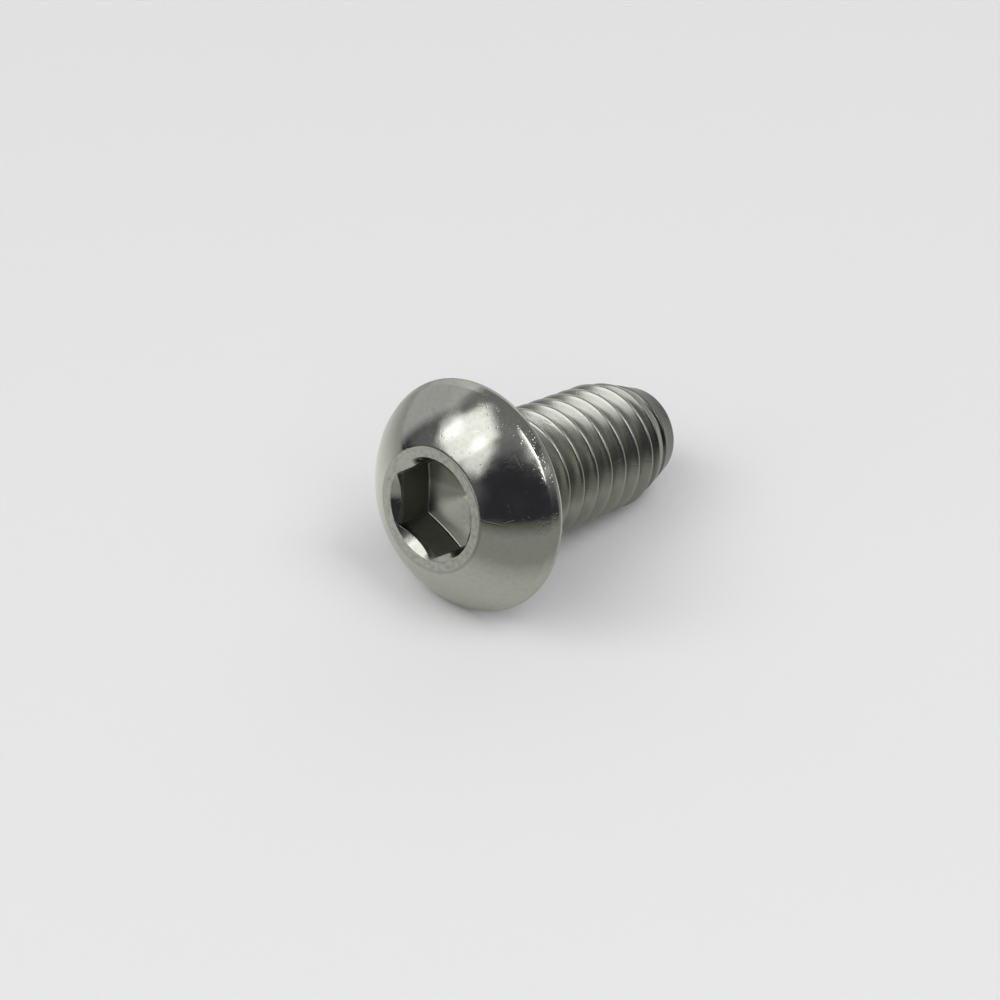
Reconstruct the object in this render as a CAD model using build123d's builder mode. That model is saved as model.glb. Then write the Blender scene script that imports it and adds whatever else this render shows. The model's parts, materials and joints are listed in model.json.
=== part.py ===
from build123d import *
import os
from math import asin, atan2, cos, hypot, pi, radians, sin, tan

# Button head socket screw, M6 x 12, right-hand coarse thread.
# It is modelled upright first: the bearing face under the head is at Z = 0, the head stands
# above it and the shank hangs below. At the end it is laid down the way it comes to rest,
# on the rim of its head and on its thread, with the head towards -Y and the tip towards +Y.

# Head, whose flat bearing face starts a clearance outside the thread's crests
head_diameter = 10.5
head_height = 2.65
dome_radius = 6.5
rim_height = 0.63
rim_angle = 27
rim_crease_radius = 0.6
rim_edge_radius = 0.2
land_width = 0.46
land_edge_radius = 0.08
bearing_clearance = 0.1

# Hexagon socket, for a key with a little clearance
key_size = 4.0
key_clearance = 0.02
key_sides = 6
socket_depth = 2.05
socket_floor_angle = 150
socket_turn = 40
mouth_margin = 0.02
mouth_angle = 90

# Shank: the smooth envelope of the thread's crests, with an unthreaded neck under the head
thread_diameter = 6.0
thread_pitch = 1.0
screw_length = 12.0
neck_length = 1.0
neck_shoulder_angle = 30
tip_taper_length = 2.7
tip_clearance = 0.25
tip_edge_radius = 0.25

# ISO metric thread: how far the pitch and root diameters lie below the nominal one, in pitches
pitch_diameter_drop = 0.6495
root_diameter_drop = 1.2269

# Worked out from the sizes above
head_radius = head_diameter / 2
thread_radius = thread_diameter / 2
neck_radius = (thread_diameter - pitch_diameter_drop * thread_pitch) / 2
tip_radius = (thread_diameter - root_diameter_drop * thread_pitch) / 2 - tip_clearance
under_head_radius = thread_radius - neck_radius + bearing_clearance
full_thread_start = neck_length + (thread_radius - neck_radius) / tan(radians(neck_shoulder_angle))
full_thread_end = screw_length - tip_taper_length

socket_apothem = (key_size + key_clearance) / 2
socket_corner_radius = socket_apothem / cos(pi / key_sides)
floor_cone_depth = socket_corner_radius / tan(radians(socket_floor_angle / 2))
mouth_radius = socket_corner_radius + mouth_margin
mouth_depth = (mouth_radius - socket_apothem) / tan(radians(mouth_angle / 2))
land_radius = mouth_radius + land_width


# Blank: head, neck and shank as one turned section. The rim leans in from the round edge of the
# bearing face to a soft crease, where the dome begins.
with BuildPart() as blank:
    with BuildSketch(Plane.XZ) as blank_section:
        with BuildLine():
            land = Line((0, head_height), (land_radius, head_height))
            rim_edge = JernArc((head_radius - rim_edge_radius, 0), (1, 0), rim_edge_radius, 90 + rim_angle)
            rim = PolarLine(
                rim_edge @ 1,
                rim_height - (rim_edge @ 1).Y,
                90 + rim_angle,
                length_mode=LengthMode.VERTICAL,
            )
            RadiusArc(land @ 1, rim @ 1, dome_radius)
            shank = Polyline(
                rim_edge @ 0,
                (neck_radius, 0),
                (neck_radius, -neck_length),
                (thread_radius, -full_thread_start),
                (thread_radius, -full_thread_end),
                (tip_radius, -screw_length),
                (0, -screw_length),
            )
            Line(shank @ 1, land @ 0)
        make_face()
        corners = blank_section.vertices()
        fillet(corners.sort_by_distance(rim @ 1)[0], radius=rim_crease_radius)
    revolve(axis=Axis.Z)
    circles = blank.edges().filter_by(GeomType.CIRCLE)
    fillet(circles.group_by(Axis.Z)[-1], radius=land_edge_radius)
    fillet(circles.group_by(Axis.Z)[0], radius=tip_edge_radius)
    under_head_edge = circles.filter_by_position(Axis.Z, 0, 0).sort_by(SortBy.RADIUS)[0]
    fillet(under_head_edge, radius=under_head_radius)


# What the key's punch takes out: a hexagon whose floor is a shallow cone, and a countersunk mouth
with BuildPart() as socket:
    with BuildSketch(Plane.XY.offset(head_height)):
        RegularPolygon(socket_corner_radius, key_sides, rotation=socket_turn)
    extrude(amount=-socket_depth - floor_cone_depth)
    with BuildSketch(Plane.XZ):
        with BuildLine():
            Polyline(
                (0, head_height),
                (socket_corner_radius, head_height),
                (socket_corner_radius, head_height - socket_depth),
                (0, head_height - socket_depth - floor_cone_depth),
                close=True,
            )
        make_face()
    revolve(axis=Axis.Z, mode=Mode.INTERSECT)
    with BuildSketch(Plane.XZ):
        with BuildLine():
            Polyline(
                (0, head_height),
                (mouth_radius, head_height),
                (socket_apothem, head_height - mouth_depth),
                (0, head_height - mouth_depth),
                close=True,
            )
        make_face()
    revolve(axis=Axis.Z)


with BuildPart() as upright_screw:
    add(blank.part)
    add(socket.part, mode=Mode.SUBTRACT)


# Laid down: the round edge of the rim and the last full crest of the thread touch the floor
rim_to_crest = full_thread_end + rim_edge_radius
crest_to_rim = head_radius - rim_edge_radius - thread_radius
rest_tilt = atan2(crest_to_rim, rim_to_crest) + asin(rim_edge_radius / hypot(crest_to_rim, rim_to_crest))
bearing_face_rise = full_thread_end * sin(rest_tilt) + thread_radius * cos(rest_tilt)

head_direction = (0, -cos(rest_tilt), sin(rest_tilt))
tipped = Plane(origin=(0, 0, bearing_face_rise), x_dir=(1, 0, 0), z_dir=head_direction)
middle = upright_screw.part.moved(tipped.location).bounding_box().center()
resting = Plane(origin=(0, -middle.Y, bearing_face_rise), x_dir=(1, 0, 0), z_dir=head_direction)

with BuildPart() as button_head_screw:
    add(upright_screw.part.moved(resting.location))
button_head_screw.part.label = "button_head_screw"

os.makedirs("parts", exist_ok=True)
export_step(button_head_screw.part, "parts/button_head_screw.step")
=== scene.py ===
import json
from math import cos, pi, radians, sin, tan

import bmesh
import bpy
from mathutils import Matrix, Vector


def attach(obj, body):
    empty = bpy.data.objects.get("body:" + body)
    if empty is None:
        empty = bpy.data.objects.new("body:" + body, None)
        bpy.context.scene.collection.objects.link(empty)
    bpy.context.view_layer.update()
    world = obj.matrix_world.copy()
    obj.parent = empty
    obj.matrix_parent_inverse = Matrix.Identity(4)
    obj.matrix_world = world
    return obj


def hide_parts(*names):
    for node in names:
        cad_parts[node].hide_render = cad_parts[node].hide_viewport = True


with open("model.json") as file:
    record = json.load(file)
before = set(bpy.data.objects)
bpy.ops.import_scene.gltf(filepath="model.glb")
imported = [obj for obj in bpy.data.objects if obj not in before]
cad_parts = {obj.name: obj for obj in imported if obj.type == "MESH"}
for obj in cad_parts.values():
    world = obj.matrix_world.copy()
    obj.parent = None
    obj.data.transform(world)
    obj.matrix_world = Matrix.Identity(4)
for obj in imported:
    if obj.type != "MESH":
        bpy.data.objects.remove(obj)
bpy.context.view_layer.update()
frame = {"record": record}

# Button head socket screw, M6 x 12, lying on the rim of its head and on its thread.
# The screw is shaped upright, in metres: its axis is Z, the face under its head lies at Z = 0,
# the head stands above and the thread hangs below. It is then laid where the frame has it.

MM = 0.001

# Head, as in the frame, with the land's edge rounder
HEAD_RADIUS = 5.25 * MM
HEAD_HEIGHT = 2.65 * MM
DOME_RADIUS = 6.5 * MM
RIM_HEIGHT = 0.63 * MM
RIM_ANGLE = radians(27)
RIM_ROUND = 0.2 * MM
CREASE_ROUND = 0.6 * MM
LAND_WIDTH = 0.46 * MM
LAND_ROUND = 0.28 * MM
BEARING_CLEARANCE = 0.1 * MM

# Hexagon socket, whose depth is measured at the walls' corners
SOCKET_ACROSS_FLATS = 4.02 * MM
SOCKET_DEPTH = 2.05 * MM
SOCKET_FLOOR_ANGLE = radians(150)
SOCKET_TURN = radians(40)
SOCKET_SIDE_TURN = radians(60)
SOCKET_CORNER_ROUND = 0.1 * MM
MOUTH_MARGIN = 0.02 * MM
MOUTH_ANGLE = radians(90)
MOUTH_ROUND = 0.035 * MM
FLOOR_ROUND = 0.08 * MM

# Thread, with an unthreaded neck over it and a taper at its tip
THREAD_RADIUS = 3.0 * MM
THREAD_PITCH = 1.0 * MM
SCREW_LENGTH = 12.0 * MM
NECK_LENGTH = 1.0 * MM
TAPER_LENGTH = 2.7 * MM
TIP_CLEARANCE = 0.25 * MM
FLANK_ANGLE = radians(30)
SHOULDER_ANGLE = radians(30)

# ISO metric thread, in pitches: how far the pitch and root diameters lie below the nominal one, and
# half of the crest's flat
PITCH_DIAMETER_DROP = 0.6495
ROOT_DIAMETER_DROP = 1.2269
CREST_HALF_FLAT = 1 / 16

# Mesh fineness: a guard row close to the end of a run keeps its faces flat
COLUMNS = 180
ROUND_STEPS = 4
DOME_STEPS = 26
GUARD = 0.03 * MM
WELD = 0.001 * MM
SMALLEST_EDGE = WELD / 10

# How far under the head its mesh meets the thread's
JOIN_DEPTH = 0.6 * MM

# Worked out from the sizes above
PITCH_RADIUS = THREAD_RADIUS - PITCH_DIAMETER_DROP / 2 * THREAD_PITCH
ROOT_RADIUS = THREAD_RADIUS - ROOT_DIAMETER_DROP / 2 * THREAD_PITCH
TIP_RADIUS = ROOT_RADIUS - TIP_CLEARANCE
UNDER_HEAD_ROUND = THREAD_RADIUS - PITCH_RADIUS + BEARING_CLEARANCE
RIM_CORNER = HEAD_RADIUS - RIM_ROUND + RIM_ROUND / tan((pi / 2 - RIM_ANGLE) / 2)
CREASE_RADIUS = RIM_CORNER - RIM_HEIGHT * tan(RIM_ANGLE)
SOCKET_APOTHEM = SOCKET_ACROSS_FLATS / 2
SOCKET_CORNER = SOCKET_APOTHEM / cos(SOCKET_SIDE_TURN / 2)
MOUTH_RADIUS = SOCKET_CORNER + MOUTH_MARGIN
LAND_RADIUS = MOUTH_RADIUS + LAND_WIDTH


# ---------------------------------------------------------------- where the screw lies

mounts = {mount["name"]: mount for mount in frame["record"]["mounts"]}


def lying_place():
    """The matrix that lays the upright screw where the frame has it, from the socket's mount."""
    socket_mouth = Vector(mounts["key_socket"]["pos_m"])
    head_direction = Vector(mounts["key_socket"]["axis"]).normalized()
    sideways = Vector((1, 0, 0))
    upwards = head_direction.cross(sideways)
    bearing_centre = socket_mouth - head_direction * HEAD_HEIGHT
    turn = Matrix((sideways, upwards, head_direction)).transposed().to_4x4()
    return Matrix.Translation(bearing_centre) @ turn


LAID = lying_place()


# ---------------------------------------------------------------- nodes

CALC = "ShaderNodeMath"
VECTOR = "ShaderNodeVectorMath"
SPLIT = "ShaderNodeSeparateXYZ"
NOISE = "ShaderNodeTexNoise"
CELLS = "ShaderNodeTexVoronoi"
BUMP = "ShaderNodeBump"
RANGE = "ShaderNodeMapRange"
SMOOTH = {"interpolation_type": "SMOOTHSTEP"}

# A mix of two colours: the sockets that take them, and the output that gives the result
MIX = "ShaderNodeMix"
COLOURS = {"data_type": "RGBA"}
FIRST = 6
SECOND = 7
MIXED = 2


def add(tree, kind, *inputs, **settings):
    """Adds a node: settings are its properties, inputs its sockets' values or links.

    The inputs come in order, or as one dict by the sockets' names or numbers.
    """
    node = tree.nodes.new(kind)
    for name, value in settings.items():
        setattr(node, name, value)
    by_socket = inputs[0] if inputs and isinstance(inputs[0], dict) else dict(enumerate(inputs))
    for key, value in by_socket.items():
        source = value.outputs[0] if isinstance(value, bpy.types.Node) else value
        if isinstance(source, bpy.types.NodeSocket):
            tree.links.new(source, node.inputs[key])
        else:
            node.inputs[key].default_value = source
    return node


def linear(hex_colour):
    """A linear RGBA colour from an sRGB hex value."""
    def one(channel):
        return channel / 12.92 if channel <= 0.04045 else ((channel + 0.055) / 1.055) ** 2.4
    return tuple(one(int(hex_colour[i:i + 2], 16) / 255) for i in (1, 3, 5)) + (1.0,)


# ---------------------------------------------------------------- sections of the head

def rounded_corner(before, corner, after, radius):
    """The points of the arc that rounds a corner of a section."""
    into = (corner - before).normalized()
    out = (after - corner).normalized()
    turn = into.angle(out)
    reach = radius * tan(turn / 2)
    centre = corner + (out - into).normalized() * radius / cos(turn / 2)
    first = corner - into * reach - centre
    last = corner + out * reach - centre
    steps = [step / ROUND_STEPS for step in range(ROUND_STEPS + 1)]
    return [centre + (first * sin((1 - t) * turn) + last * sin(t * turn)) / sin(turn) for t in steps]


def straight_run(start, end, cuts):
    """Points between two ends: one close to each end, to keep the faces flat, and the rest even."""
    if cuts == 0:
        return []
    length = (end - start).length
    guard = min(GUARD, length / 4) / length
    return [start.lerp(end, guard + (1 - 2 * guard) * cut / (cuts - 1)) for cut in range(cuts)]


def section(corners):
    """A sampled section from corners (radius from the axis, height, round, cuts in the run after it)."""
    places = [Vector((corner[0], corner[1])) for corner in corners]
    stretches = []
    for i, corner in enumerate(corners):
        if corner[2] > 0:
            stretches.append(rounded_corner(places[i - 1], places[i], places[i + 1], corner[2]))
        else:
            stretches.append([places[i]])
    points = []
    for i, stretch in enumerate(stretches):
        points += stretch
        if i + 1 < len(stretches):
            points += straight_run(stretch[-1], stretches[i + 1][0], corners[i][3])
    return points


def dome_arc():
    """The bulging arc from the crease over the rim up to the land, without its ends."""
    low = Vector((CREASE_RADIUS, RIM_HEIGHT))
    high = Vector((LAND_RADIUS, HEAD_HEIGHT))
    half_chord = (high - low) / 2
    inwards = Vector((-half_chord.y, half_chord.x)).normalized()
    centre = (low + high) / 2 + inwards * (DOME_RADIUS ** 2 - half_chord.length_squared) ** 0.5
    first = low - centre
    last = high - centre
    turn = first.angle(last)
    steps = [step / DOME_STEPS for step in range(1, DOME_STEPS)]
    return [centre + (first * sin((1 - t) * turn) + last * sin(t * turn)) / sin(turn) for t in steps]


def socket_reach(angle):
    """How far the socket's wall stands from the axis in a direction."""
    off_flat = (angle - SOCKET_TURN) % SOCKET_SIDE_TURN - SOCKET_SIDE_TURN / 2
    corner = SOCKET_CORNER - SOCKET_CORNER_ROUND * (1 / cos(SOCKET_SIDE_TURN / 2) - 1)
    return min(SOCKET_APOTHEM / cos(off_flat), corner)


def head_section(angle):
    """The head's section in one direction, from the neck round the rim and down into the socket."""
    wall = socket_reach(angle)
    mouth_drop = (MOUTH_RADIUS - wall) / tan(MOUTH_ANGLE / 2)
    floor_drop = SOCKET_DEPTH + (SOCKET_CORNER - wall) / tan(SOCKET_FLOOR_ANGLE / 2)
    centre_drop = SOCKET_DEPTH + SOCKET_CORNER / tan(SOCKET_FLOOR_ANGLE / 2)
    return section(
        [
            (PITCH_RADIUS, -JOIN_DEPTH, 0, 0),
            (PITCH_RADIUS, 0, UNDER_HEAD_ROUND, 4),
            (RIM_CORNER, 0, RIM_ROUND, 3),
            (CREASE_RADIUS, RIM_HEIGHT, CREASE_ROUND, 0),
        ]
        + [(point.x, point.y, 0, 0) for point in dome_arc()]
        + [
            (LAND_RADIUS, HEAD_HEIGHT, LAND_ROUND, 3),
            (MOUTH_RADIUS, HEAD_HEIGHT, MOUTH_ROUND, 3),
            (wall, HEAD_HEIGHT - mouth_drop, MOUTH_ROUND, 6),
            (wall, HEAD_HEIGHT - floor_drop, FLOOR_ROUND, 8),
            (0, HEAD_HEIGHT - centre_drop, 0, 0),
        ]
    )


def column_angle(column):
    """The direction of a column of the mesh, counted clockwise from a corner of the socket."""
    return SOCKET_TURN - 2 * pi * column / COLUMNS


def head_mesh():
    """The head as a grid of sections round the axis, open at its neck."""
    mesh = bmesh.new()
    columns = []
    for column in range(COLUMNS):
        angle = column_angle(column)
        points = head_section(angle)
        columns.append([mesh.verts.new((p.x * cos(angle), p.x * sin(angle), p.y)) for p in points])
    for column in range(COLUMNS):
        here = columns[column]
        beside = columns[(column + 1) % COLUMNS]
        for row in range(len(here) - 1):
            mesh.faces.new((here[row], here[row + 1], beside[row + 1], beside[row]))
    return mesh


# ---------------------------------------------------------------- rolled thread

# Past the tip the spare turns close the end face: a row moves inwards by its rate times the depth
# that it would have gone down
ROWS_PER_TURN = 24
END_FACE_RATE = 4
SPARE_TURNS = 2
CREST_ROUND = 0.14 * MM
TAPER_ROUND = 0.1 * MM
ROOT_ROUND = 0.1 * MM
TIP_ROUND = 0.2 * MM

THREAD_INPUTS = {
    "Crest radius": THREAD_RADIUS,
    "Root radius": ROOT_RADIUS,
    "Neck radius": PITCH_RADIUS,
    "Tip radius": TIP_RADIUS,
    "Pitch": THREAD_PITCH,
    "Length": SCREW_LENGTH,
    "Neck length": NECK_LENGTH,
    "Shoulder length": (THREAD_RADIUS - PITCH_RADIUS) / tan(SHOULDER_ANGLE),
    "Taper length": TAPER_LENGTH,
    "Join depth": JOIN_DEPTH,
    "Start angle": SOCKET_TURN,
}


def thread_tree(steel):
    """Geometry Nodes: a grid whose rows follow the helix, wrapped round the axis and closed at the tip."""
    tree = bpy.data.node_groups.new("rolled_thread", "GeometryNodeTree")
    tree.interface.new_socket("Geometry", in_out="INPUT", socket_type="NodeSocketGeometry")
    for name in THREAD_INPUTS:
        tree.interface.new_socket(name, in_out="INPUT", socket_type="NodeSocketFloat")
    tree.interface.new_socket("Geometry", in_out="OUTPUT", socket_type="NodeSocketGeometry")
    size = add(tree, "NodeGroupInput").outputs

    turns = round(SCREW_LENGTH / THREAD_PITCH) + SPARE_TURNS
    grid = add(tree, "GeometryNodeMeshGrid", 1.0, 1.0, COLUMNS + 1, turns * ROWS_PER_TURN + 1)
    place = add(tree, SPLIT, add(tree, "GeometryNodeInputPosition"))
    around = add(tree, CALC, place.outputs["X"], 0.5, operation="ADD")
    along = add(tree, CALC, place.outputs["Y"], 0.5, operation="ADD")
    row_turn = add(tree, CALC, along, float(turns), operation="MULTIPLY")

    # Depth below the head: a row drops by one pitch each time it goes round
    rows_down = add(tree, CALC, row_turn, around, operation="ADD")
    lead_in = add(tree, CALC, rows_down, 1.0, operation="SUBTRACT")
    raw_depth = add(tree, CALC, lead_in, size["Pitch"], size["Join depth"], operation="MULTIPLY_ADD")
    depth = add(tree, CALC, raw_depth, size["Join depth"], operation="MAXIMUM")

    # Thread profile: flat crest, 60 degree flanks, round root
    in_turn = add(tree, CALC, row_turn, operation="FRACT")
    off_middle = add(tree, CALC, in_turn, 0.5, operation="SUBTRACT")
    off_crest = add(tree, CALC, off_middle, operation="ABSOLUTE")
    past_flat = add(tree, CALC, off_crest, CREST_HALF_FLAT, operation="SUBTRACT")
    sideways = add(tree, CALC, past_flat, size["Pitch"], operation="MULTIPLY")
    flank_drop = add(tree, CALC, sideways, 1 / tan(FLANK_ANGLE), operation="MULTIPLY")
    flank = add(tree, CALC, size["Crest radius"], flank_drop, operation="SUBTRACT")
    crest = add(tree, CALC, flank, size["Crest radius"], CREST_ROUND, operation="SMOOTH_MIN")
    profile = add(tree, CALC, crest, size["Root radius"], ROOT_ROUND, operation="SMOOTH_MAX")

    # The thread rises out of the neck over the shoulder
    past_neck = add(tree, CALC, depth, size["Neck length"], operation="SUBTRACT")
    shoulder_part = add(tree, CALC, past_neck, size["Shoulder length"], operation="DIVIDE")
    rise = add(tree, "ShaderNodeClamp", shoulder_part)
    height = add(tree, CALC, profile, size["Neck radius"], operation="SUBTRACT")
    threaded = add(tree, CALC, height, rise, size["Neck radius"], operation="MULTIPLY_ADD")

    # The taper cuts the crests down towards the tip
    to_end = add(tree, CALC, size["Length"], depth, operation="SUBTRACT")
    taper_part = add(tree, CALC, to_end, size["Taper length"], operation="DIVIDE")
    taper_rise = add(tree, CALC, size["Crest radius"], size["Tip radius"], operation="SUBTRACT")
    taper = add(tree, CALC, taper_part, taper_rise, size["Tip radius"], operation="MULTIPLY_ADD")
    tapered = add(tree, CALC, threaded, taper, TAPER_ROUND, operation="SMOOTH_MIN")

    # Past the tip the rows close over the end face
    past_end = add(tree, CALC, depth, size["Length"], operation="SUBTRACT")
    over_end = add(tree, CALC, past_end, 0.0, TIP_ROUND, operation="SMOOTH_MAX")
    inwards = add(tree, CALC, over_end, -float(END_FACE_RATE), tapered, operation="MULTIPLY_ADD")
    radius = add(tree, CALC, inwards, 0.0, operation="MAXIMUM")
    held_depth = add(tree, CALC, depth, size["Length"], TIP_ROUND, operation="SMOOTH_MIN")

    # Right-hand: the depth grows as the angle falls
    full_turn = add(tree, CALC, around, -2 * pi, size["Start angle"], operation="MULTIPLY_ADD")
    x = add(tree, CALC, add(tree, CALC, full_turn, operation="COSINE"), radius, operation="MULTIPLY")
    y = add(tree, CALC, add(tree, CALC, full_turn, operation="SINE"), radius, operation="MULTIPLY")
    z = add(tree, CALC, held_depth, -1.0, operation="MULTIPLY")
    wrapped = add(tree, "ShaderNodeCombineXYZ", x, y, z)

    placed = add(tree, "GeometryNodeSetPosition", {"Geometry": grid, "Position": wrapped})
    welded = add(tree, "GeometryNodeMergeByDistance", {"Geometry": placed, "Distance": WELD})
    realized = add(tree, "GeometryNodeRealizeInstances", welded)
    coated = add(tree, "GeometryNodeSetMaterial", {"Geometry": realized, "Material": steel})
    add(tree, "NodeGroupOutput", coated)
    return tree


def thread_mesh(steel):
    """The thread's tree evaluated once and kept as a plain mesh."""
    maker = bpy.data.objects.new("thread_maker", bpy.data.meshes.new("thread_maker"))
    bpy.context.scene.collection.objects.link(maker)
    modifier = maker.modifiers.new("rolled_thread", "NODES")
    modifier.node_group = thread_tree(steel)
    for socket in modifier.node_group.interface.items_tree:
        if socket.name in THREAD_INPUTS:
            modifier[socket.identifier] = THREAD_INPUTS[socket.name]
    evaluated = maker.evaluated_get(bpy.context.evaluated_depsgraph_get())
    mesh = bpy.data.meshes.new_from_object(evaluated)
    bpy.data.objects.remove(maker)
    return mesh


# ---------------------------------------------------------------- finishes

# Colours of the steel, its stains and the socket's darker tones, and of the painted shade on the land's
# edge, the socket floor's upper half and the thread
BARE_STEEL = linear("#c3c4bb")
STAIN = linear("#8d8e86")
LAND_EDGE_PAINTED_DARK = linear("#7c7d77")
SOCKET_WALL_TONE = linear("#9a9a94")
SOCKET_FLOOR_TONE = linear("#b0b1a7")
FLOOR_UPPER_PAINTED_SHADE = linear("#8b8c84")
THREAD_UNDERSIDE_SHADE = linear("#9fa098")
THREAD_UPPER_TONE = linear("#c4c5bc")
TIP_PAINTED_SHADE = linear("#565752")

# Roughness: the dome's runs from its bright places to its dull clouds
DOME_ROUGHNESS = (0.08, 0.17)
LAND_ROUGHNESS = 0.36
THREAD_ROUGHNESS = 0.26
WALL_ROUGHNESS = 0.35
FLOOR_ROUGHNESS = 0.22

# Where each finish begins and where it is full: distances from the axis
LAND_FROM = (LAND_RADIUS - 0.06 * MM, LAND_RADIUS - 0.1 * MM)
MOUTH_FROM = (MOUTH_RADIUS - 0.02 * MM, MOUTH_RADIUS + 0.02 * MM)
SOCKET_FROM = (SOCKET_CORNER + 0.06 * MM, SOCKET_CORNER + 0.02 * MM)
RIM_NICKS_FROM = (4.5 * MM, 4.95 * MM)

# The same as heights over the bearing face
WALL_FROM = (HEAD_HEIGHT - 0.42 * MM, HEAD_HEIGHT - 0.55 * MM)
FLOOR_FROM = (HEAD_HEIGHT - SOCKET_DEPTH + 0.06 * MM, HEAD_HEIGHT - SOCKET_DEPTH)
HEAD_FROM = (0.0, 0.1 * MM)
THREAD_FROM = (-NECK_LENGTH + 0.1 * MM, -NECK_LENGTH - 0.1 * MM)
# Where the painted shade towards the thread's tip begins and is full
TIP_SHADE_FROM = (-8.5 * MM, -SCREW_LENGTH)

# The same as distances towards the side of the screw that lies uppermost: where the painted shade on the
# socket floor's upper half begins, and where the thread's painted shade gives way to its lighter upper
# side
FLOOR_SHADE_FROM = (-0.1 * MM, 0.2 * MM)
UPPER_SIDE_FROM = (0.6 * MM, 2.6 * MM)

# The painted dark line round the land, a painted dark reflection: how far from the edge it begins and is
# full, and how strong it is
PAINTED_LINE_FROM = (0.1 * MM, 0.05 * MM)
PAINTED_LINE_STRENGTH = 0.35

# Clouds and stains: size, the noise levels that they lie between, and how strong the stains are
CLOUD_SIZE = 0.7 * MM
CLOUD_LEVELS = (0.35, 0.7)
STAIN_SIZE = 0.22 * MM
STAIN_LEVELS = (0.42, 0.66)
STAIN_STRENGTH = (0.08, 0.52)
STAIN_OFF_LAND = 0.25

# Waves of the forged skin
WAVE_SIZE = 1.1 * MM
WAVE_HEIGHT = 0.01 * MM

# Nicks: which share of the cells stays whole outside a patch and in one, how much less near the rim,
# and how far from a cell's middle the floor of a nick and its edge lie
NICK_SIZE = 0.13 * MM
NICK_DEPTH = 0.0025 * MM
NICK_REACH = (0.1, 0.45)
PATCH_SIZE = 1.6 * MM
PATCH_LEVELS = (0.42, 0.66)
WHOLE_SHARE = (0.98, 0.62)
RIM_NICK_SHARE = 0.3

# Scratches: how far apart they lie, how they bend, and how they break off
SCRATCH_SPACING = 2.0 * MM
SCRATCH_HALF_WIDTH = 0.04 * MM
SCRATCH_DEPTH = 0.003 * MM
SCRATCH_STRENGTH = 0.7
BEND_SIZE = 2.5 * MM
BEND_REACH = 1.6 * MM
BREAK_SIZE = 0.9 * MM
BREAK_LEVELS = (0.5, 0.62)

# Grain of the tumbled skin, drawn coarser than it is so that it shows
GRAIN_SIZE = 0.06 * MM
GRAIN_HEIGHT = 0.0016 * MM


def screw_place(tree):
    """Coordinates on the upright screw: the place itself, the distance from the axis, the height."""
    upright = LAID.inverted()
    place = add(
        tree,
        "ShaderNodeMapping",
        {
            "Vector": add(tree, "ShaderNodeTexCoord").outputs["Object"],
            "Location": upright.translation,
            "Rotation": upright.to_euler(),
        },
    )
    split = add(tree, SPLIT, place)
    flat = add(tree, "ShaderNodeCombineXYZ", split.outputs["X"], split.outputs["Y"])
    distance = add(tree, VECTOR, flat, operation="LENGTH").outputs["Value"]
    return place, distance, split.outputs["Z"]


def screw_zones(tree, distance, height):
    """How much of each finish a place has, from 0 to 1, apart from the painted dark line's, which ends
    lower.
    """
    high_up = add(tree, CALC, height, HEAD_HEIGHT / 2, operation="GREATER_THAN")
    inside_edge = add(tree, RANGE, distance, *LAND_FROM, **SMOOTH)
    outside_mouth = add(tree, RANGE, distance, *MOUTH_FROM, **SMOOTH)
    ring = add(tree, CALC, inside_edge, outside_mouth, operation="MULTIPLY")

    past_edge = add(tree, CALC, distance, LAND_RADIUS, operation="SUBTRACT")
    off_edge = add(tree, CALC, past_edge, operation="ABSOLUTE")
    in_painted_line = add(tree, RANGE, off_edge, *PAINTED_LINE_FROM, 0.0, PAINTED_LINE_STRENGTH, **SMOOTH)

    below_mouth = add(tree, RANGE, height, *WALL_FROM, **SMOOTH)
    within_socket = add(tree, RANGE, distance, *SOCKET_FROM, **SMOOTH)
    above_neck = add(tree, RANGE, height, *HEAD_FROM, **SMOOTH)
    in_head = add(tree, CALC, within_socket, above_neck, operation="MULTIPLY")
    return {
        "land": add(tree, CALC, ring, high_up, operation="MULTIPLY"),
        "line": add(tree, CALC, in_painted_line, high_up, operation="MULTIPLY"),
        "socket": add(tree, CALC, below_mouth, in_head, operation="MULTIPLY"),
        "floor": add(tree, RANGE, height, *FLOOR_FROM, **SMOOTH),
        "thread": add(tree, RANGE, height, *THREAD_FROM, **SMOOTH),
    }


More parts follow.
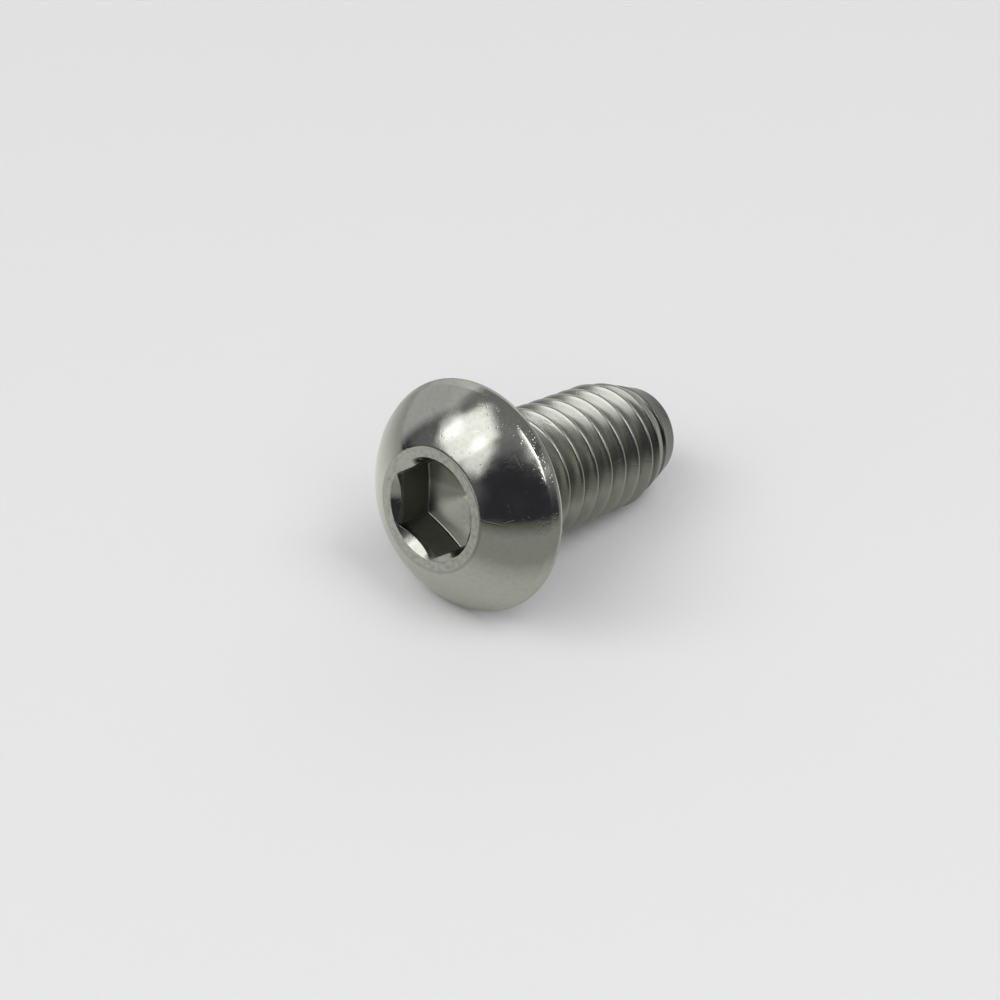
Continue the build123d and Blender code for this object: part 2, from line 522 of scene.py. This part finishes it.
def steel_colour(tree, place, height, zones):
    """Bare steel with grey stains and a painted dark line round the land, a darker socket with painted
    shade on its floor's upper half, and painted shade on the thread's underside and tip.
    """
    upward = add(tree, SPLIT, place).outputs["Y"]

    # Stains: in full on the land, where the punch pressed, and faint on the rest of the head
    specks = add(tree, NOISE, {"Vector": place, "Scale": 1 / STAIN_SIZE, "Detail": 4.0})
    stained = add(tree, RANGE, specks.outputs["Fac"], *STAIN_LEVELS, *STAIN_STRENGTH, **SMOOTH)
    share = add(tree, CALC, zones["land"], STAIN_OFF_LAND, operation="MAXIMUM")
    smears = add(tree, CALC, stained, share, operation="MULTIPLY")
    bare = add(tree, MIX, {FIRST: BARE_STEEL, SECOND: STAIN, "Factor": smears}, **COLOURS)

    # Painted dark reflection: a darker line is painted round the land, where its rounded edge meets the
    # dome
    at_painted_line = {FIRST: bare.outputs[MIXED], SECOND: LAND_EDGE_PAINTED_DARK, "Factor": zones["line"]}
    with_painted_line = add(tree, MIX, at_painted_line, **COLOURS)

    # Painted shade on the thread: darker on its underside than on its upper side, and darker still towards
    # the tip
    upper_share = add(tree, RANGE, upward, *UPPER_SIDE_FROM, **SMOOTH)
    thread_sides = add(tree, MIX, {FIRST: THREAD_UNDERSIDE_SHADE, SECOND: THREAD_UPPER_TONE, "Factor": upper_share}, **COLOURS)
    towards_tip = add(tree, RANGE, height, *TIP_SHADE_FROM, **SMOOTH)
    at_tip = {FIRST: thread_sides.outputs[MIXED], SECOND: TIP_PAINTED_SHADE, "Factor": towards_tip}
    thread_shaded = add(tree, MIX, at_tip, **COLOURS)
    at_thread = {FIRST: with_painted_line.outputs[MIXED], SECOND: thread_shaded.outputs[MIXED], "Factor": zones["thread"]}
    skin = add(tree, MIX, at_thread, **COLOURS)

    # The socket: walls and floor darker than the bare steel, with painted shade on the floor's upper half
    shaded_half = add(tree, RANGE, upward, *FLOOR_SHADE_FROM, **SMOOTH)
    at_floor_shade = {FIRST: SOCKET_FLOOR_TONE, SECOND: FLOOR_UPPER_PAINTED_SHADE, "Factor": shaded_half}
    floor_tone = add(tree, MIX, at_floor_shade, **COLOURS)
    at_floor = {FIRST: SOCKET_WALL_TONE, SECOND: floor_tone.outputs[MIXED], "Factor": zones["floor"]}
    socket_tone = add(tree, MIX, at_floor, **COLOURS)
    in_socket = {FIRST: skin.outputs[MIXED], SECOND: socket_tone.outputs[MIXED], "Factor": zones["socket"]}
    return add(tree, MIX, in_socket, **COLOURS).outputs[MIXED]


def steel_roughness(tree, place, zones):
    """A bright dome with dull clouds where the tumbling media rubbed more; the rest is duller."""
    clouds = add(tree, NOISE, {"Vector": place, "Scale": 1 / CLOUD_SIZE, "Detail": 6.0})
    dome = add(tree, RANGE, clouds.outputs["Fac"], *CLOUD_LEVELS, *DOME_ROUGHNESS, **SMOOTH)
    head = add(tree, MIX, {"Factor": zones["land"], "A": dome, "B": LAND_ROUGHNESS})
    outside = add(tree, MIX, {"Factor": zones["thread"], "A": head, "B": THREAD_ROUGHNESS})
    inside = add(tree, MIX, {"Factor": zones["floor"], "A": WALL_ROUGHNESS, "B": FLOOR_ROUGHNESS})
    return add(tree, MIX, {"Factor": zones["socket"], "A": outside, "B": inside})


def steel_relief(tree, place, distance):
    """What stands in or out of the skin: waves, nicks, scratches and grain, one over the other."""
    waves = add(tree, NOISE, {"Vector": place, "Scale": 1 / WAVE_SIZE, "Detail": 1.0})
    wavy = add(tree, BUMP, {"Height": waves.outputs["Fac"], "Distance": WAVE_HEIGHT, "Strength": 1.0})

    # Nicks from parts knocking together, in patches and most of them along the edge over the rim
    cells = add(tree, CELLS, {"Vector": place, "Scale": 1 / NICK_SIZE, "Randomness": 1.0})
    chance = add(tree, SPLIT, cells.outputs["Color"])
    patches = add(tree, NOISE, {"Vector": place, "Scale": 1 / PATCH_SIZE, "Detail": 1.0})
    whole = add(tree, RANGE, patches.outputs["Fac"], *PATCH_LEVELS, *WHOLE_SHARE, **SMOOTH)
    near_rim = add(tree, RANGE, distance, *RIM_NICKS_FROM, 0.0, RIM_NICK_SHARE, **SMOOTH)
    threshold = add(tree, CALC, whole, near_rim, operation="SUBTRACT")
    struck = add(tree, CALC, chance.outputs["X"], threshold, operation="GREATER_THAN")
    hollow = add(tree, RANGE, cells.outputs["Distance"], *NICK_REACH, -1.0, 0.0, **SMOOTH)
    nicks = add(tree, CALC, hollow, struck, operation="MULTIPLY")
    nick_sizes = {"Height": nicks, "Distance": NICK_DEPTH, "Strength": 1.0, "Normal": wavy}
    nicked = add(tree, BUMP, nick_sizes)

    # Scratches, drawn wider than they are so that they show
    bends = add(tree, NOISE, {"Vector": place, "Scale": 1 / BEND_SIZE, "Detail": 2.0})
    bent = add(tree, VECTOR, bends.outputs["Color"], (BEND_REACH,) * 3, place, operation="MULTIPLY_ADD")
    net_sizes = {"Vector": bent, "Scale": 1 / SCRATCH_SPACING, "Randomness": 1.0}
    net = add(tree, CELLS, net_sizes, feature="DISTANCE_TO_EDGE")
    reach = SCRATCH_HALF_WIDTH / SCRATCH_SPACING
    groove = add(tree, RANGE, net.outputs["Distance"], 0.0, reach, -1.0, 0.0, **SMOOTH)
    breaks = add(tree, NOISE, {"Vector": place, "Scale": 1 / BREAK_SIZE, "Detail": 2.0})
    there = add(tree, RANGE, breaks.outputs["Fac"], *BREAK_LEVELS, **SMOOTH)
    scratches = add(tree, CALC, groove, there, operation="MULTIPLY")
    scratch_sizes = {"Height": scratches, "Distance": SCRATCH_DEPTH, "Strength": SCRATCH_STRENGTH}
    scratched = add(tree, BUMP, {**scratch_sizes, "Normal": nicked})

    grain = add(tree, NOISE, {"Vector": place, "Scale": 1 / GRAIN_SIZE, "Detail": 3.0})
    grain_sizes = {"Height": grain.outputs["Fac"], "Distance": GRAIN_HEIGHT, "Strength": 1.0}
    return add(tree, BUMP, {**grain_sizes, "Normal": scratched})


def stainless_steel():
    """Cold-forged stainless steel, bright from tumbling: a soft-edged mirror with fine scratches."""
    material = bpy.data.materials.new("tumbled_stainless_steel")
    material.use_nodes = True
    tree = material.node_tree
    tree.nodes.clear()
    place, distance, height = screw_place(tree)
    zones = screw_zones(tree, distance, height)
    shader = add(
        tree,
        "ShaderNodeBsdfPrincipled",
        {
            "Base Color": steel_colour(tree, place, height, zones),
            "Metallic": 1.0,
            "Roughness": steel_roughness(tree, place, zones),
            "Normal": steel_relief(tree, place, distance),
        },
    )
    add(tree, "ShaderNodeOutputMaterial", shader)
    return material


BOARD = "#e4e4e4"
BOARD_ROUGHNESS = 0.8
BOARD_GLOSS = 0.1

# Painted light and shadow on the board, seen only in what the steel mirrors: how far behind the screw, in
# mm, and the colour there. It runs as far each way as the reach, along a fixed line over the board.
BOARD_REACH = 100 * MM
BOARD_LINE = (-0.8, 0.6, 0)
BOARD_PAINTED_LIGHT = {
    -100: "#62625f",
    -45: "#878784",
    -28: "#9c9c98",
    -13: "#9c9c98",
    -9: "#c6c6c2",
    -4: "#d2d2ce",
    0: "#dcdcd8",
    8: "#e8e8e4",
    14: "#d9d9d5",
    24: "#c6c6c2",
    50: "#b0b0ac",
}


def pale_floor():
    """Smooth white paper board: matt, so it only takes the soft shadow.

    What the steel mirrors of the board has light and shadow painted on it: palest close behind the
    screw, a little greyer further back, and a painted shadow darkest towards the front right.
    """
    material = bpy.data.materials.new("white_board")
    material.use_nodes = True
    tree = material.node_tree
    tree.nodes.clear()
    place = add(tree, "ShaderNodeTexCoord").outputs["Object"]
    behind = add(tree, VECTOR, place, BOARD_LINE, operation="DOT_PRODUCT")
    fall = add(tree, RANGE, behind.outputs["Value"], -BOARD_REACH, BOARD_REACH)
    painted_board = add(tree, "ShaderNodeValToRGB", fall)

    # The ramp keeps its last colour until the new ones stand, because it can't be left empty
    tones = painted_board.color_ramp.elements
    tones.remove(tones[0])
    for position, colour in BOARD_PAINTED_LIGHT.items():
        tones.new((position * MM / BOARD_REACH + 1) / 2).color = linear(colour)
    tones.remove(tones[-1])
    # Glossy rays see the painted light and shadow; the camera and the lamps see the plain board
    mirrored = add(tree, "ShaderNodeLightPath").outputs["Is Glossy Ray"]
    sides = {FIRST: linear(BOARD), SECOND: painted_board.outputs["Color"], "Factor": mirrored}
    colour = add(tree, MIX, sides, **COLOURS).outputs[MIXED]
    shader = add(
        tree,
        "ShaderNodeBsdfPrincipled",
        {"Base Color": colour, "Roughness": BOARD_ROUGHNESS, "Specular IOR Level": BOARD_GLOSS},
    )
    add(tree, "ShaderNodeOutputMaterial", shader)
    return material


# ---------------------------------------------------------------- the screw

def make_screw():
    """Head and thread welded into one closed mesh, laid down in place of the frame's plain solid."""
    steel = stainless_steel()
    whole = head_mesh()
    thread = thread_mesh(steel)
    whole.from_mesh(thread)
    bpy.data.meshes.remove(thread)
    bmesh.ops.remove_doubles(whole, verts=whole.verts, dist=WELD)
    bmesh.ops.dissolve_degenerate(whole, edges=whole.edges, dist=SMALLEST_EDGE)
    bmesh.ops.recalc_face_normals(whole, faces=whole.faces)
    for face in whole.faces:
        face.smooth = True
    whole.transform(LAID)
    mesh = bpy.data.meshes.new("threaded_screw")
    whole.to_mesh(mesh)
    whole.free()
    mesh.materials.clear()
    mesh.materials.append(steel)
    screw = bpy.data.objects.new("threaded_screw", mesh)
    bpy.context.scene.collection.objects.link(screw)
    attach(screw, "root")
    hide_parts("button_head_screw")


make_screw()


# ---------------------------------------------------------------- floor, light and camera

FLOOR_SIZE = 2.0

# Azimuth 0 is towards -Y and grows towards +X, here and for the lamps below, in degrees
CAMERA_AZIMUTH = 41.82
CAMERA_ELEVATION = 36.58
CAMERA_DISTANCE = 109.2 * MM
CAMERA_LENS = 90
CAMERA_NEAREST = 1 * MM

# How far beside and above the middle of the bearing face the camera aims
AIM_RIGHT = 1.265 * MM
AIM_UP = -0.232 * MM


QUARTER_TURN = 90


def direction_of(azimuth, elevation):
    """The direction from the screw at an azimuth and an elevation in degrees."""
    turn = radians(azimuth)
    rise = radians(elevation)
    return Vector((sin(turn) * cos(rise), -cos(turn) * cos(rise), sin(rise)))


def make_floor():
    """The board that the screw lies on, wider than any view of it."""
    mesh = bpy.data.meshes.new("floor")
    half = FLOOR_SIZE / 2
    corners = [(-half, -half, 0), (half, -half, 0), (half, half, 0), (-half, half, 0)]
    mesh.from_pydata(corners, [], [(0, 1, 2, 3)])
    mesh.materials.append(pale_floor())
    floor = bpy.data.objects.new("floor", mesh)
    bpy.context.scene.collection.objects.link(floor)


def make_camera():
    """The camera, level and looking down at the screw from in front of its head."""
    data = bpy.data.cameras.new("camera")
    data.lens = CAMERA_LENS
    data.clip_start = CAMERA_NEAREST
    camera = bpy.data.objects.new("camera", data)
    bpy.context.scene.collection.objects.link(camera)
    back = direction_of(CAMERA_AZIMUTH, CAMERA_ELEVATION)
    right = direction_of(CAMERA_AZIMUTH + QUARTER_TURN, 0)
    up = back.cross(right)
    bearing_centre = LAID.translation
    camera.location = bearing_centre + back * CAMERA_DISTANCE + right * AIM_RIGHT + up * AIM_UP
    camera.rotation_mode = "QUATERNION"
    camera.rotation_quaternion = (-back).to_track_quat("-Z", "Y")
    bpy.context.scene.camera = camera


# The least that a direction faces a lamp, so that nothing is divided by zero
EDGE_ON = 0.001


def lamp_tree():
    """Shader group: how much of a soft-edged rectangular lamp is seen in a direction."""
    tree = bpy.data.node_groups.new("soft_lamp", "ShaderNodeTree")
    for name in ("Direction", "Toward", "Across", "Upward"):
        tree.interface.new_socket(name, in_out="INPUT", socket_type="NodeSocketVector")
    tree.interface.new_socket("Softness", in_out="INPUT", socket_type="NodeSocketFloat")
    tree.interface.new_socket("Level", in_out="OUTPUT", socket_type="NodeSocketFloat")
    given = add(tree, "NodeGroupInput").outputs
    ahead = add(tree, VECTOR, given["Direction"], given["Toward"], operation="DOT_PRODUCT")
    facing = add(tree, CALC, ahead.outputs["Value"], EDGE_ON, operation="MAXIMUM")
    inner = add(tree, CALC, 1.0, given["Softness"], operation="SUBTRACT")
    outer = add(tree, CALC, 1.0, given["Softness"], operation="ADD")
    level = 1.0
    for side in ("Across", "Upward"):
        along = add(tree, VECTOR, given["Direction"], given[side], operation="DOT_PRODUCT")
        reach = add(tree, CALC, along.outputs["Value"], facing, operation="DIVIDE")
        off_middle = add(tree, CALC, reach, operation="ABSOLUTE")
        within = add(tree, RANGE, off_middle, inner, outer, 1.0, 0.0, **SMOOTH)
        level = add(tree, CALC, within, level, operation="MULTIPLY")
    add(tree, "NodeGroupOutput", level)
    return tree


# The white lamps and pale walls round the screw: azimuth, elevation, half width and half height in
# degrees, softness and brightness
LAMPS = {
    "softbox": (-36, 55, 16.5, 20, 0.25, 1.3),
    "softbox_core": (-56, 44, 9, 8, 0.5, 0.8),
    "softbox_wing": (-1, 48, 9, 13.5, 0.45, 1.1),
    "softbox_spill": (-32, 24, 42, 14, 0.5, 0.14),
    "back_window": (81, 45, 5, 14, 0.3, 2.8),
    "back_window_top": (80, 63, 5, 12, 0.4, 2.4),
    "back_window_curtain": (66, 54, 3.5, 6, 0.6, 0.4),
    "left_wall": (-98, 20, 20, 29, 0.3, 0.5),
    "back_left_wall": (-148, 14, 28, 38, 0.5, 0.6),
    "back_wall": (143, 17, 48, 40, 0.4, 0.28),
    "ceiling": (-60, 82, 35, 35, 0.5, 0.2),
}

# White cards, listed as the lamps are, that show only in what is mirrored
CARDS = {
    "front_left_card": (-26, 5, 22, 7, 0.4, 0.8),
}
ROOM = "#37373e"
BACKDROP = "#e4e4e4"

# Lamps for the board and its shadow, which nothing mirrors: azimuth, elevation, distance, size, power
FILLS = {
    "front_fill": (42, 45, 0.6, 0.5, 1.2),
    "far_fill": (112, 60, 0.6, 0.25, 0.75),
    "side_fill": (-40, 48, 0.6, 0.25, 0.35),
    "low_fill": (-12, 20, 0.6, 0.4, 0.4),
}


def make_light():
    """The studio as the world round the screw; the camera itself sees only the pale backdrop."""
    world = bpy.data.worlds.new("studio")
    world.use_nodes = True
    tree = world.node_tree
    tree.nodes.clear()
    lamp_shape = lamp_tree()
    direction = add(tree, "ShaderNodeTexCoord").outputs["Generated"]
    light_path = add(tree, "ShaderNodeLightPath").outputs

    def with_lamps(glow_so_far, lamps):
        for azimuth, elevation, half_width, half_height, softness, brightness in lamps.values():
            toward = direction_of(azimuth, elevation)
            across = direction_of(azimuth + QUARTER_TURN, 0)
            lamp = add(
                tree,
                "ShaderNodeGroup",
                {
                    "Direction": direction,
                    "Toward": toward,
                    "Across": across / tan(radians(half_width)),
                    "Upward": toward.cross(across) / tan(radians(half_height)),
                    "Softness": softness,
                },
                node_tree=lamp_shape,
            )
            light = add(tree, VECTOR, lamp, (brightness,) * 3, operation="MULTIPLY")
            glow_so_far = add(tree, VECTOR, light, glow_so_far, operation="ADD")
        return glow_so_far

    lit = with_lamps(linear(ROOM)[:3], LAMPS)
    cards = with_lamps((0.0, 0.0, 0.0), CARDS)
    mirrored_cards = add(tree, VECTOR, cards, light_path["Is Glossy Ray"], operation="MULTIPLY")
    studio = add(tree, VECTOR, lit, mirrored_cards, operation="ADD")
    room = add(tree, "ShaderNodeBackground", studio)
    backdrop = add(tree, "ShaderNodeBackground", linear(BACKDROP))
    seen = add(tree, "ShaderNodeMixShader", light_path["Is Camera Ray"], room, backdrop)
    add(tree, "ShaderNodeOutputWorld", seen)
    bpy.context.scene.world = world

    for name, (azimuth, elevation, distance, size, power) in FILLS.items():
        data = bpy.data.lights.new(name, "AREA")
        data.size = size
        data.energy = power
        lamp = bpy.data.objects.new(name, data)
        toward = direction_of(azimuth, elevation)
        lamp.location = toward * distance
        lamp.rotation_mode = "QUATERNION"
        lamp.rotation_quaternion = (-toward).to_track_quat("-Z", "Y")
        lamp.visible_glossy = False
        bpy.context.scene.collection.objects.link(lamp)


make_floor()
make_camera()
make_light()
bpy.context.scene.view_settings.view_transform = "Standard"
